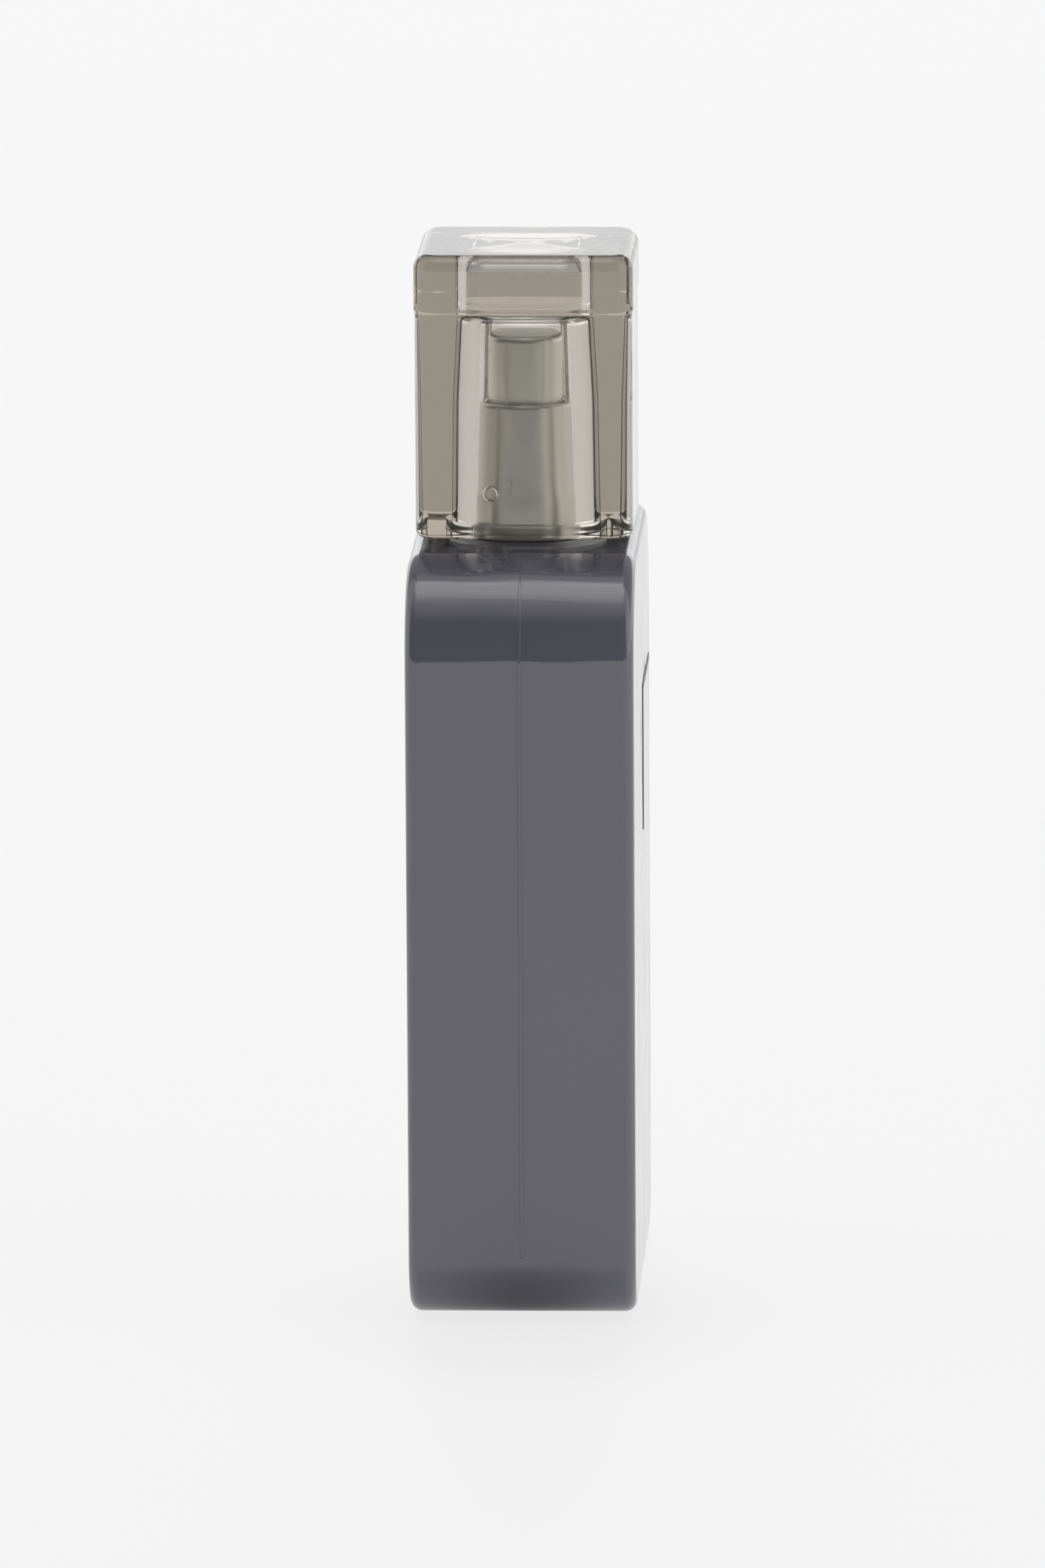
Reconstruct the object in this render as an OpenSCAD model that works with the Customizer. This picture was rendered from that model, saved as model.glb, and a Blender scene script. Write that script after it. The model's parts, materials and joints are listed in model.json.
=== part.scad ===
// Flat glass aftershave bottle with a crimped spray pump, a metal collar and a block cap.
// Millimetres. +Z is up, X is the wide way of the bottle, Y is its thin way, and the
// nozzle looks along -Y. The origin is on the table, under the middle of the bottle.

/* [Bottle] */
// Width of the glass body
body_w = 60; // [54:0.5:70]
// Thickness of the glass body
body_t = 28; // [27.5:0.5:34]
// Height of the shoulder above the table
shoulder_z = 94; // [88:0.5:110]
// Radius of the two upper corners
shoulder_r = 12; // [9:0.5:14]
// Radius of the two lower corners
heel_r = 8; // [5:0.5:8.5]
// Rounding of the long edges, front and back
edge_r = 1.5; // [1.2:0.1:3]
// Thickness of the glass walls and of the shoulder
wall = 2.6; // [2:0.1:3]
// Thickness of the heavy glass base
base_t = 6.5; // [5:0.5:9]
// Depth of the shallow recess under the base
recess_h = 0.8; // [0.5:0.1:1.2]
// Height of the liquid's surface above the table
fill_z = 87; // [40:1:87]

/* [Neck] */
// Radius of the neck below its bead
neck_r = 6.6; // [6.4:0.1:6.7]
// Radius of the bead that the ferrule grips
bead_r = 7.5; // [7.4:0.05:7.5]
// Radius of the hole through the neck
neck_bore_r = 5; // [4.8:0.1:5.2]
// Height of the neck above the shoulder
neck_h = 7.5; // [7.3:0.1:7.6]
// Height of the bead
bead_h = 3.2; // [3:0.1:3.3]

/* [Pump] */
// How far the spray head travels
stroke = 4.5; // [3:0.1:4.5]
// Radius of the pump chamber's bore
chamber_r = 3.5; // [3.3:0.05:3.6]
// Outer radius of the stem
stem_r = 1.95; // [1.8:0.05:2]
// Outer radius of the dip tube
tube_r = 1.1; // [1:0.05:1.2]
// Radius of the inlet ball
ball_r = 1; // [0.9:0.05:1.1]
// Wire diameter of the return spring
wire_d = 0.45; // [0.35:0.05:0.5]
// Turns in the return spring
spring_turns = 7; // [5:1:8]

/* [Spray head and collar] */
// Outer radius of the spray head's metal shell
head_r = 6.85; // [6.7:0.05:6.9]
// Height of the top of the spray head above the shoulder
head_top = 25.3; // [25:0.1:25.6]
// Height of the collar above the shoulder
collar_h = 17; // [16.5:0.1:17.5]
// Outer radius of the collar at its rim
collar_top_r = 8.4; // [8.3:0.05:8.4]
// Outer radius of the collar where the cap grips it
collar_grip_r = 9.13; // [9:0.01:9.15]

/* [Cap] */
// Width of the cap's top block, both ways
cap_w = 27; // [26:0.1:27.4]
// Height of the cap
cap_h = 35.1; // [34:0.1:36]
// Height of the block above the cap's hollow
cap_block_h = 7.7; // [7:0.1:8]
// How far the cap's top block stands proud of its lower walls
cap_step = 0.12; // [0.05:0.01:0.2]
// Radius of the cap's upright edges
cap_edge_r = 3.0; // [2.4:0.1:3.6]
// Radius of the rounding round the cap's top
cap_top_r = 1.8; // [1.2:0.1:2.2]
// Width of the core that is moulded into the cap's top block, both ways
core_w = 17; // [16:0.1:18]

/* [Hidden] */
$fn = 96;

fit = 0.05;                               // gap round a part that is pushed over or into another
film = 0.08;                              // thickness of the print and the label

// Heights up the neck and the pump, each built on the one below it
neck_top = shoulder_z + neck_h;
gasket_top = neck_top + 1;
flange_top = gasket_top + 1;
ferrule_t = 0.4;                          // aluminium sheet of the ferrule
ferrule_low = neck_top - bead_h - ferrule_t;
turret_top = flange_top + 1.8;            // top of the ferrule's raised middle
turret_r = 5.2;
head_z = shoulder_z + head_top;
skirt_z = flange_top + ferrule_t + stroke + 0.4;
shell_t = 0.5;                            // wall of the spray head's shell
boss_z = turret_top + stroke + 0.2;       // underside of the head's stem socket
stem_top = boss_z + 3.9;
nozzle_z = head_z - 4.5;

// Heights down the pump, below its flange
housing_r = neck_bore_r - 0.5;
flange_r = 7.3;
plug_z = flange_top - 3.6;                // underside of the housing cap's plug
piston_top = plug_z - 0.1;
piston_h = 4.2;
stem_base_h = 0.9;
spring_top = piston_top - piston_h - stem_base_h;
spring_h = 10;
spring_z = spring_top - spring_h;
cage_r = ball_r + 0.3;
cage_h = 3;
seat_z = spring_z - cage_h;
seat_r = 0.6 * ball_r;
seat_h = 1.5;
socket_h = 6;
socket_z = seat_z - seat_h - socket_h;    // mouth of the dip tube's socket
nose_r = 2.3;
tube_z = base_t + 2;                      // lower end of the dip tube

// The cap
cap_z = shoulder_z + 0.9;
cap_top = cap_z + cap_h;
ceiling_z = cap_top - cap_block_h;
mouth_h = 1.3;                            // height of the wider mouth at the cap's underside
mouth_r = 9.95;
grip_bore_r = collar_grip_r + 0.08;
core_z = ceiling_z + 0.5;                 // underside of the pocket round the core
core_top = cap_top - 1.1;
core_corner = 3.9;
mark_y = 4;
mark_z = cap_z + 5.7;
mark_depth = 0.15;

// The bottle's details
seam_h = 0.1;                             // height of the mould seam
seam_w = 0.4;
hollow_heel_r = 5;                        // lower corners of the hollow
recess_w = 42;
recess_d = 15;
recess_corner = 4;
collar_flange_r = 9.75;

// The pump's details
guide_gap = 0.07;                         // radial gap of the stem in its guide
cone_z = spring_z - 0.8;                  // where the housing narrows below its chamber
cage_lip_r = 0.85 * ball_r;
washer_z = flange_top + 0.8;
lid_hole_r = 2.6;
stem_bore_r = 0.8;
spring_r = 2.6;                           // from the axis to the middle of the wire
dead = 0.9 / spring_turns;                // share of the wire in each closed end
insert_r = 1.85;
pocket_y = 3.5;                           // from the axis to the back of the insert

// The printed corner line
print_x = 3.4;
print_low = 55.5;
print_high = 73.9;
print_end = 26;
print_stroke = 0.8;

// A quarter disc of radius r with its square corner at [x, y], turned by a degrees
module quarter_disc(x, y, r, a) {
  translate([x, y]) rotate(a) intersection() {
    circle(r);
    square(r);
  }
}

// A strip from the axis out to r, with its two outer corners rounded
module edge_profile(r, low, high, low_r, high_r) {
  polygon([
    [0, low], [r - low_r, low], [r, low + low_r],
    [r, high - high_r], [r - high_r, high], [0, high]
  ]);
  quarter_disc(r - low_r, low + low_r, low_r, -90);
  quarter_disc(r - high_r, high - high_r, high_r, 0);
}

// A flat slab on its edge: big corners in its outline, and every edge rounded front and back.
// It is laid out as a core, four straight bands and four turned corners that meet face to face.
module slab(w, t, low, high, high_corner, low_corner, edge) {
  x_high = w / 2 - high_corner;
  x_low = w / 2 - low_corner;
  z_high = high - high_corner;
  z_low = low + low_corner;
  translate([-x_low, -t / 2, z_low]) cube([2 * x_low, t, z_high - z_low]);
  for (side = [0, 1]) mirror([side, 0, 0]) {
    translate([x_low, 0, z_low]) linear_extrude(z_high - z_low)
      edge_profile(low_corner, -t / 2, t / 2, edge, edge);
    translate([x_low, 0, z_low]) rotate([90, 0, 0]) rotate(-90) rotate_extrude(angle = 90)
      edge_profile(low_corner, -t / 2, t / 2, edge, edge);
    translate([x_high, 0, z_high]) rotate([90, 0, 0]) rotate_extrude(angle = 90)
      edge_profile(high_corner, -t / 2, t / 2, edge, edge);
  }
  translate([-x_low, 0, z_low]) rotate([0, 90, 0]) linear_extrude(2 * x_low)
    edge_profile(low_corner, -t / 2, t / 2, edge, edge);
  translate([x_high, 0, z_high]) rotate([0, -90, 0]) linear_extrude(2 * x_high)
    edge_profile(high_corner, -t / 2, t / 2, edge, edge);
}

// A square block with round corners, built the same way: its child is the strip that goes all round it
module block(w, low, high, edge) {
  half = w / 2 - edge;
  translate([-half, -half, low]) cube([2 * half, 2 * half, high - low]);
  for (turn = [0:90:270]) rotate(turn) translate([half, half, 0]) {
    rotate([90, 0, 0]) linear_extrude(2 * half) children();
    rotate_extrude(angle = 90) children();
  }
}

// The block with rounded rims
module rounded_block(w, low, high, edge, low_r, high_r) {
  block(w, low, high, edge) edge_profile(edge, low, high, low_r, high_r);
}

// A flat rectangle with round corners
module rounded_rect(w, h, r) {
  square([w - 2 * r, h], center = true);
  square([w, h - 2 * r], center = true);
  for (x = [-1, 1], y = [-1, 1]) translate([x * (w / 2 - r), y * (h / 2 - r)]) circle(r);
}

// The closed outline [[radius, height], ...] turned about the pump's axis
module turned(outline) {
  rotate_extrude() polygon(outline);
}

// A cylinder lying along -Y from the pump's axis, between two distances from it
module along_nozzle(r, near, far) {
  translate([0, -near, nozzle_z]) rotate([90, 0, 0]) cylinder(r = r, h = far - near);
}

// Heavy-based glass bottle: outer slab, neck and bead, less the hollow, the bore and the base recess
module bottle_glass() {
  bead_z = neck_top - bead_h;
  color([0.30, 0.32, 0.38]) difference() {
    union() {
      slab(body_w, body_t, 0, shoulder_z, shoulder_r, heel_r, edge_r);
      // mould seam up the middle of both sides
      slab(body_w + 2 * seam_h, seam_w, heel_r, shoulder_z, shoulder_r + seam_h, seam_w, seam_h);
      turned([
        [0, shoulder_z - 1], [neck_r, shoulder_z - 1], [neck_r, bead_z], [bead_r, bead_z],
        [bead_r, neck_top - 0.6], [bead_r - 0.6, neck_top], [0, neck_top]
      ]);
    }
    slab(
      body_w - 2 * wall, body_t - 2 * wall, base_t, shoulder_z - wall,
      shoulder_r - wall, hollow_heel_r, edge_r
    );
    translate([0, 0, shoulder_z - 2 * wall]) cylinder(r = neck_bore_r, h = neck_h + 2 * wall + 1);
    translate([0, 0, -1]) linear_extrude(1 + recess_h) rounded_rect(recess_w, recess_d, recess_corner);
  }
}

// Aftershave in the bottle, up to fill_z, with room for the pump and the dip tube
module aftershave_liquid() {
  shrink = 2 * wall + 2 * fit;
  color([0.72, 0.80, 0.88, 0.6]) difference() {
    slab(
      body_w - shrink, body_t - shrink, base_t + fit, shoulder_z - wall,
      shoulder_r - wall, hollow_heel_r, edge_r
    );
    translate([-body_w / 2, -body_t / 2, fill_z]) cube([body_w, body_t, shoulder_z]);
    translate([0, 0, tube_z - fit]) cylinder(r = tube_r + fit, h = shoulder_z);
    translate([0, 0, socket_z - fit]) cylinder(r = nose_r + fit, h = shoulder_z);
    translate([0, 0, cone_z - 1.5 - fit]) cylinder(r = housing_r + fit, h = shoulder_z);
  }
}

// Two thin ruled lines that meet in a corner, printed on the front face
module front_print() {
  color([0.12, 0.12, 0.14]) translate([0, -body_t / 2, 0]) rotate([90, 0, 0]) linear_extrude(film)
    polygon([
      [print_x, print_low], [print_x + print_stroke, print_low],
      [print_x + print_stroke, print_high - print_stroke], [print_end, print_high - print_stroke],
      [print_end, print_high], [print_x, print_high]
    ]);
}

// Blank clear label in the recess under the base
module base_label() {
  color([0.92, 0.92, 0.90]) translate([0, 0, recess_h - film]) linear_extrude(film)
    rounded_rect(recess_w - 12, recess_d - 4, 1.5);
}

// Flat rubber ring that seals the pump to the glass
module neck_gasket() {
  color([0.85, 0.85, 0.83]) turned([
    [housing_r + fit, neck_top], [flange_r, neck_top], [flange_r, gasket_top],
    [housing_r + fit, gasket_top]
  ]);
}

// Thin aluminium ferrule, crimped in under the bead, with a raised middle that holds the pump
module crimp_ferrule() {
  r = bead_r + fit;
  t = ferrule_t;
  shelf = flange_top + t;
  color([0.78, 0.78, 0.76]) turned([
    [neck_r + 0.15, ferrule_low], [r + t, ferrule_low], [r + t, shelf], [turret_r, shelf],
    [turret_r, turret_top], [lid_hole_r, turret_top], [lid_hole_r, turret_top - t],
    [turret_r - t, turret_top - t], [turret_r - t, flange_top], [r, flange_top],
    [r, ferrule_low + t], [neck_r + 0.15, ferrule_low + t]
  ]);
}

// Satin metal collar over the ferrule: base flange, grip land for the cap, taper and rounded rim
module collar_sleeve() {
  bore = bead_r + ferrule_t + 2 * fit;
  rim = (collar_top_r - head_r - 0.35) / 2;
  top = shoulder_z + collar_h;
  flange_up = cap_z + mouth_h - fit;
  color([0.66, 0.65, 0.62]) rotate_extrude() {
    polygon([
      [bore, shoulder_z], [collar_flange_r, shoulder_z], [collar_flange_r, flange_up],
      [collar_grip_r, flange_up], [collar_grip_r, flange_up + 2.9], [collar_top_r + 0.4, flange_up + 4.2],
      [collar_top_r, top - rim], [collar_top_r - 2 * rim, top - rim],
      [collar_top_r - 2 * rim, top - 1.4], [bore, top - 2.2]
    ]);
    quarter_disc(collar_top_r - rim, top - rim, rim, 0);
    quarter_disc(collar_top_r - rim, top - rim, rim, 90);
  }
}

// Pump housing: flange, chamber, ball cage and the socket for the dip tube
module pump_housing() {
  socket_r = tube_r + fit;
  color([0.93, 0.93, 0.92]) turned([
    [socket_r, socket_z], [nose_r, socket_z], [nose_r, cone_z - 1.5], [housing_r, cone_z],
    [housing_r, gasket_top], [flange_r, gasket_top], [flange_r, flange_top], [chamber_r, flange_top],
    [chamber_r, spring_z], [cage_lip_r, spring_z], [cage_lip_r, spring_z - 0.4],
    [cage_r, spring_z - 0.4], [cage_r, seat_z], [seat_r, seat_z], [seat_r, seat_z - seat_h],
    [socket_r, seat_z - seat_h]
  ]);
}

// Plug that closes the top of the housing and guides the stem
module housing_cap() {
  r = stem_r + guide_gap;
  color([0.90, 0.90, 0.88]) turned([
    [r, plug_z], [chamber_r - fit, plug_z], [chamber_r - fit, flange_top],
    [turret_r - ferrule_t - fit, flange_top], [turret_r - ferrule_t - fit, washer_z], [r, washer_z]
  ]);
}

// Soft washer around the stem, under the ferrule's lid
module stem_washer() {
  color([0.25, 0.25, 0.26]) turned([
    [stem_r + guide_gap, washer_z], [turret_r - ferrule_t - fit, washer_z],
    [turret_r - ferrule_t - fit, turret_top - ferrule_t], [stem_r + guide_gap, turret_top - ferrule_t]
  ]);
}

// Dip tube down to just above the glass base
module dip_tube() {
  color([0.90, 0.92, 0.94]) translate([0, 0, tube_z]) difference() {
    cylinder(r = tube_r, h = seat_z - seat_h - tube_z);
    translate([0, 0, -1]) cylinder(r = tube_r - 0.5, h = seat_z - tube_z + 2);
  }
}

// Steel inlet ball, resting on its round seat
module inlet_ball() {
  color([0.80, 0.80, 0.82]) translate([0, 0, seat_z + sqrt(ball_r * ball_r - seat_r * seat_r) + 0.02])
    sphere(ball_r);
}

// A point on the spring's wire: s runs from 0 to 1 along the wire, and a goes round its section
function spring_rise(s) = s < dead ? 0 : s > 1 - dead ? 1 : (s - dead) / (1 - 2 * dead);
function spring_point(s, a) = [
  (spring_r + wire_d / 2 * cos(a)) * cos(360 * spring_turns * s),
  (spring_r + wire_d / 2 * cos(a)) * sin(360 * spring_turns * s),
  wire_d / 2 + spring_rise(s) * (spring_h - 2 * wire_d) + wire_d * min(1, max(0, s / dead - 0.2)) / 2
    + wire_d * min(1, max(0, (s - 1) / dead + 0.8)) / 2 + wire_d / 2 * sin(a)
];

// Steel return spring between the housing's step and the stem base, with closed ends
module return_spring() {
  steps = 20 * spring_turns;
  sides = 8;
  points = [for (i = [0:steps], k = [0:sides - 1]) spring_point(i / steps, 360 * k / sides)];
  side_faces = [for (i = [0:steps - 1], k = [0:sides - 1]) [
    i * sides + k, i * sides + (k + 1) % sides,
    (i + 1) * sides + (k + 1) % sides, (i + 1) * sides + k
  ]];
  end_faces = [[for (k = [sides - 1:-1:0]) k], [for (k = [0:sides - 1]) steps * sides + k]];
  color([0.70, 0.70, 0.72]) translate([0, 0, spring_z])
    polyhedron(points, concat(side_faces, end_faces));
}

// Soft piston with two thin lips that wipe the chamber
module piston() {
  low = piston_top - piston_h;
  lip = chamber_r - 0.04;
  waist = chamber_r - 0.6;
  inner = stem_r + fit;
  color([0.95, 0.95, 0.95]) turned([
    [inner, low], [lip - 0.3, low], [lip, low + 0.3], [lip, low + 0.8], [waist, low + 1.4],
    [waist, piston_top - 1.4], [lip, piston_top - 0.8], [lip, piston_top - 0.3],
    [lip - 0.3, piston_top], [inner, piston_top]
  ]);
}

// Base of the stem: the piston sits on its flange and the spring pushes up under it
module stem_base() {
  low = piston_top - piston_h - stem_base_h;
  color([0.88, 0.88, 0.90]) turned([
    [0, low - 2], [spring_r - wire_d / 2 - 0.5, low - 2], [spring_r - wire_d / 2 - 0.3, low],
    [spring_r + wire_d / 2 + 0.2, low], [spring_r + wire_d / 2 + 0.2, low + stem_base_h],
    [stem_bore_r - fit, low + stem_base_h], [stem_bore_r - fit, low + stem_base_h + 0.6],
    [0, low + stem_base_h + 0.6]
  ]);
}

// Hollow stem, with the cross port that the piston covers at rest
module stem() {
  low = piston_top - piston_h;
  color([0.93, 0.93, 0.94]) difference() {
    translate([0, 0, low]) cylinder(r = stem_r, h = stem_top - low);
    translate([0, 0, low - 1]) cylinder(r = stem_bore_r, h = stem_top - low + 2);
    translate([-stem_r - 1, 0, low + 1.3]) rotate([0, 90, 0]) cylinder(r = 0.35, h = 2 * stem_r + 2);
  }
}

// Plastic core of the spray head: skirt, stem socket, channel and the pocket for the insert
module actuator_core() {
  r = head_r - shell_t - fit;
  top = head_z - shell_t - fit;
  color([0.86, 0.86, 0.84]) difference() {
    union() {
      difference() {
        rotate_extrude() edge_profile(r, skirt_z + 0.2, top, 0.1, 0.6);
        translate([0, 0, skirt_z - 1]) cylinder(r = r - 0.6, h = top - skirt_z - 0.2);
      }
      translate([0, 0, boss_z]) cylinder(r = 3, h = top - boss_z - 0.5);
      intersection() {
        along_nozzle(2.7, 0, head_r);
        translate([0, 0, skirt_z]) cylinder(r = r, h = head_top);
      }
    }
    translate([0, 0, boss_z - 1]) cylinder(r = stem_r + fit, h = stem_top + fit - boss_z + 1);
    translate([0, 0, boss_z]) cylinder(r = 0.7, h = nozzle_z - boss_z);
    along_nozzle(0.6, 0, pocket_y + 1);
    along_nozzle(insert_r + fit, pocket_y, head_r);
  }
}

// Thin satin metal shell over the core, with a window for the nozzle
module actuator_shell() {
  color([0.62, 0.60, 0.56]) difference() {
    rotate_extrude() edge_profile(head_r, skirt_z, head_z, 0.1, 0.8);
    rotate_extrude() edge_profile(head_r - shell_t, skirt_z - 1, head_z - shell_t, 0.1, 0.4);
    along_nozzle(insert_r + 0.15, 0, head_r + 1);
  }
}

// Spray insert with its fine hole and shallow dish
module spray_insert() {
  front = head_r - 0.1;
  color([0.15, 0.15, 0.16]) difference() {
    along_nozzle(insert_r, pocket_y, front);
    along_nozzle(0.2, pocket_y - 1, front + 1);
    along_nozzle(0.9, front - 0.4, front + 1);
  }
}

// The shape of the cap's core, smaller by gap on every face
module core_block(gap) {
  bevel_w = 1.9;
  bevel_h = 1.3;
  low = core_z + gap;
  high = core_top - gap;
  edge = core_corner - gap;
  block(core_w - 2 * gap, low, high, edge)
    polygon([[0, low], [edge, low], [edge, high - bevel_h], [edge - bevel_w, high], [0, high]]);
}

// Smoked core, moulded first; the cap is moulded round it and leaves a hair of a gap
module cap_core() {
  color([0.66, 0.62, 0.57, 0.75]) core_block(fit);
}

// Smoked block cap: top block round its core, thick square walls and a drafted round hollow
module cap() {
  ceiling_r = 8.55;
  corner = 1.6;
  grip_top = cap_z + mouth_h + 2.9;
  color([0.66, 0.62, 0.57, 0.75]) difference() {
    union() {
      rounded_block(cap_w - 2 * cap_step, cap_z, ceiling_z + 1.5, cap_edge_r, 0.7, 0.3);
      rounded_block(cap_w, ceiling_z + 0.3, cap_top, cap_edge_r, cap_step, cap_top_r);
    }
    core_block(0);
    rotate_extrude() {
      polygon([
        [0, cap_z - 1], [mouth_r, cap_z - 1], [mouth_r, cap_z + mouth_h],
        [grip_bore_r + 0.05, cap_z + mouth_h], [grip_bore_r, grip_top], [9.05, shoulder_z + collar_h],
        [ceiling_r, ceiling_z - corner], [ceiling_r - corner, ceiling_z], [0, ceiling_z]
      ]);
      quarter_disc(ceiling_r - corner, ceiling_z - corner, corner, 0);
    }
    // small round moulding mark on one side
    translate([-cap_w / 2, mark_y, mark_z]) rotate([0, 90, 0]) difference() {
      cylinder(r = 1, h = 2 * mark_depth + 2 * cap_step, center = true);
      cylinder(r = 0.72, h = 2, center = true);
    }
  }
}

bottle_glass();
aftershave_liquid();
front_print();
base_label();
neck_gasket();
crimp_ferrule();
collar_sleeve();
pump_housing();
housing_cap();
stem_washer();
dip_tube();
inlet_ball();
return_spring();
piston();
stem_base();
stem();
actuator_core();
actuator_shell();
spray_insert();
cap();
cap_core();
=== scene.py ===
import json
import math

import bmesh
import bpy
from mathutils import Matrix, Vector


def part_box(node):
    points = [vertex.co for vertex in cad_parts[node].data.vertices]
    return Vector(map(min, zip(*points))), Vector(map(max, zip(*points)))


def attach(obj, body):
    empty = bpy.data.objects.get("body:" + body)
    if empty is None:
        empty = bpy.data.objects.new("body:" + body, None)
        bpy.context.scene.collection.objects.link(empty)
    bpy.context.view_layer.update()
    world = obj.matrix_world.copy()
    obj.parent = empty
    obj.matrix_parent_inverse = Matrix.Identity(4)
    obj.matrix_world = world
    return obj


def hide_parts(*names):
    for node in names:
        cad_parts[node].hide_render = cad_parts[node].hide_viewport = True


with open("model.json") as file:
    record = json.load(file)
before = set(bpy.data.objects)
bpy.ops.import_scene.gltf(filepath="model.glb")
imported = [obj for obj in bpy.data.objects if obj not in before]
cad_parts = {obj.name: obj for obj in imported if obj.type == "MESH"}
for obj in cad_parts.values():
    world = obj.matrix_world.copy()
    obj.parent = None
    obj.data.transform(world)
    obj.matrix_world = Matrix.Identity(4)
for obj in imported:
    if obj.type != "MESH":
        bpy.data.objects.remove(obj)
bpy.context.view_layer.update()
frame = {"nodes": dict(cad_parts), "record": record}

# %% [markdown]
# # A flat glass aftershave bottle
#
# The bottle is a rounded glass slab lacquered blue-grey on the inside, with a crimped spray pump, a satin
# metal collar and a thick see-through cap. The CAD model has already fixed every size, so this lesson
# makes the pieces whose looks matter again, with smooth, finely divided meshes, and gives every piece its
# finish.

MM = 0.001

# %% [markdown]
# ## Sizes
#
# Each piece is measured from the CAD node that it stands for. Radii that a box can't give, such as the
# rounding of an edge, are the same design values that the CAD model uses, in millimetres.

# %% Sizes taken from the frame
glass_low, glass_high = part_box("bottle_glass")
cap_low, cap_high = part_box("cap")
core_low, core_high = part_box("cap_core")
collar_low, collar_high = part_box("collar_sleeve")
head_low, head_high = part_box("actuator_shell")
insert_low, insert_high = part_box("spray_insert")
spring_low, spring_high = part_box("return_spring")
print_low, print_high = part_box("front_print")

SEAM_HEIGHT = 0.1 * MM
BODY_WIDTH = glass_high.x - glass_low.x - 2 * SEAM_HEIGHT
BODY_DEPTH = glass_high.y - glass_low.y
SHOULDER = collar_low.z
print(f"body {BODY_WIDTH / MM:.1f} x {BODY_DEPTH / MM:.1f} x {SHOULDER / MM:.1f} mm")

# %% [markdown]
# ## Camera
#
# A long lens from nearly two metres away keeps the sides of the bottle almost parallel. The camera looks
# at one narrow side from slightly above, turned a little so that the printed face shows as a thin sliver.

# %% Camera
CAMERA_PLACE = Vector((-1.8417, -0.0757, 0.4074))
CAMERA_YAW = math.radians(2.38)
CAMERA_PITCH = math.radians(10.6176)
CAMERA_ROLL = math.radians(-0.31)
CAMERA_LENS, CAMERA_SENSOR = 346.8, 36.0


def add_camera():
    data = bpy.data.cameras.new("camera")
    data.lens = CAMERA_LENS
    data.sensor_width = CAMERA_SENSOR
    data.dof.use_dof = False
    data.clip_end = 50.0
    camera = bpy.data.objects.new("camera", data)
    bpy.context.scene.collection.objects.link(camera)
    forward = Vector((
        math.cos(CAMERA_YAW) * math.cos(CAMERA_PITCH),
        math.sin(CAMERA_YAW) * math.cos(CAMERA_PITCH),
        -math.sin(CAMERA_PITCH),
    ))
    level_right = forward.cross(Vector((0, 0, 1))).normalized()
    level_up = level_right.cross(forward)
    right = math.cos(CAMERA_ROLL) * level_right + math.sin(CAMERA_ROLL) * level_up
    up = right.cross(forward)
    turn = Matrix((right, up, -forward)).transposed()
    camera.matrix_world = Matrix.Translation(CAMERA_PLACE) @ turn.to_4x4()
    bpy.context.scene.camera = camera


add_camera()
print("camera at", [round(value, 3) for value in CAMERA_PLACE])

# %% [markdown]
# ## Floor
#
# The studio is a white table under a broad soft light. The table glows a little, so that it is as pale as
# the backdrop, and the glow fades out close to the foot of the bottle as a painted shadow. Reflections see
# a deeper and shorter painted shade than the camera does, which darkens the glass just above the table and
# leaves only a faint soft painted shadow on it.

# %% Floor
FLOOR_FRONT = -1.15
FLOOR_REACH = 9.0
FLOOR_GREY = 0.10
FLOOR_GLOW = 0.81
# painted shadow: the share of the glow taken away at the bottle's foot, and how far it reaches, for
# reflections and for the camera
REFLECTED_PAINTED_SHADE, REFLECTED_REACH = 0.70, 0.022
CAMERA_PAINTED_SHADE, CAMERA_REACH = 0.05, 0.05


def glow_with_painted_shadow(nodes, links, apart, shade, reach):
    """The floor's glow, less a painted shadow at the bottle's foot: a share of the glow that fades out over
    reach metres.
    """
    fade = nodes.new("ShaderNodeMapRange")
    fade.interpolation_type = "SMOOTHSTEP"
    links.new(apart, fade.inputs["Value"])
    fade.inputs["From Min"].default_value = 0.0
    fade.inputs["From Max"].default_value = reach
    fade.inputs["To Min"].default_value = FLOOR_GLOW * (1 - shade)
    fade.inputs["To Max"].default_value = FLOOR_GLOW
    return fade.outputs["Result"]


def floor_material():
    material = bpy.data.materials.new("white_table")
    material.use_nodes = True
    nodes, links = material.node_tree.nodes, material.node_tree.links
    surface = nodes["Principled BSDF"]
    surface.inputs["Base Color"].default_value = (FLOOR_GREY, FLOOR_GREY, FLOOR_GREY, 1)
    surface.inputs["Roughness"].default_value = 0.6
    surface.inputs["Specular IOR Level"].default_value = 0.2
    surface.inputs["Emission Color"].default_value = (1, 1, 1, 1)
    place = nodes.new("ShaderNodeNewGeometry")
    apart = nodes.new("ShaderNodeVectorMath")
    apart.operation = "DISTANCE"
    apart.inputs[1].default_value = (glass_low.x, 0, 0)
    links.new(place.outputs["Position"], apart.inputs[0])
    seen = nodes.new("ShaderNodeLightPath")
    choose = nodes.new("ShaderNodeMix")
    links.new(seen.outputs["Is Camera Ray"], choose.inputs["Factor"])
    reflected = glow_with_painted_shadow(nodes, links, apart.outputs["Value"], REFLECTED_PAINTED_SHADE, REFLECTED_REACH)
    direct = glow_with_painted_shadow(nodes, links, apart.outputs["Value"], CAMERA_PAINTED_SHADE, CAMERA_REACH)
    links.new(reflected, choose.inputs["A"])
    links.new(direct, choose.inputs["B"])
    links.new(choose.outputs["Result"], surface.inputs["Emission Strength"])
    return material


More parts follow.
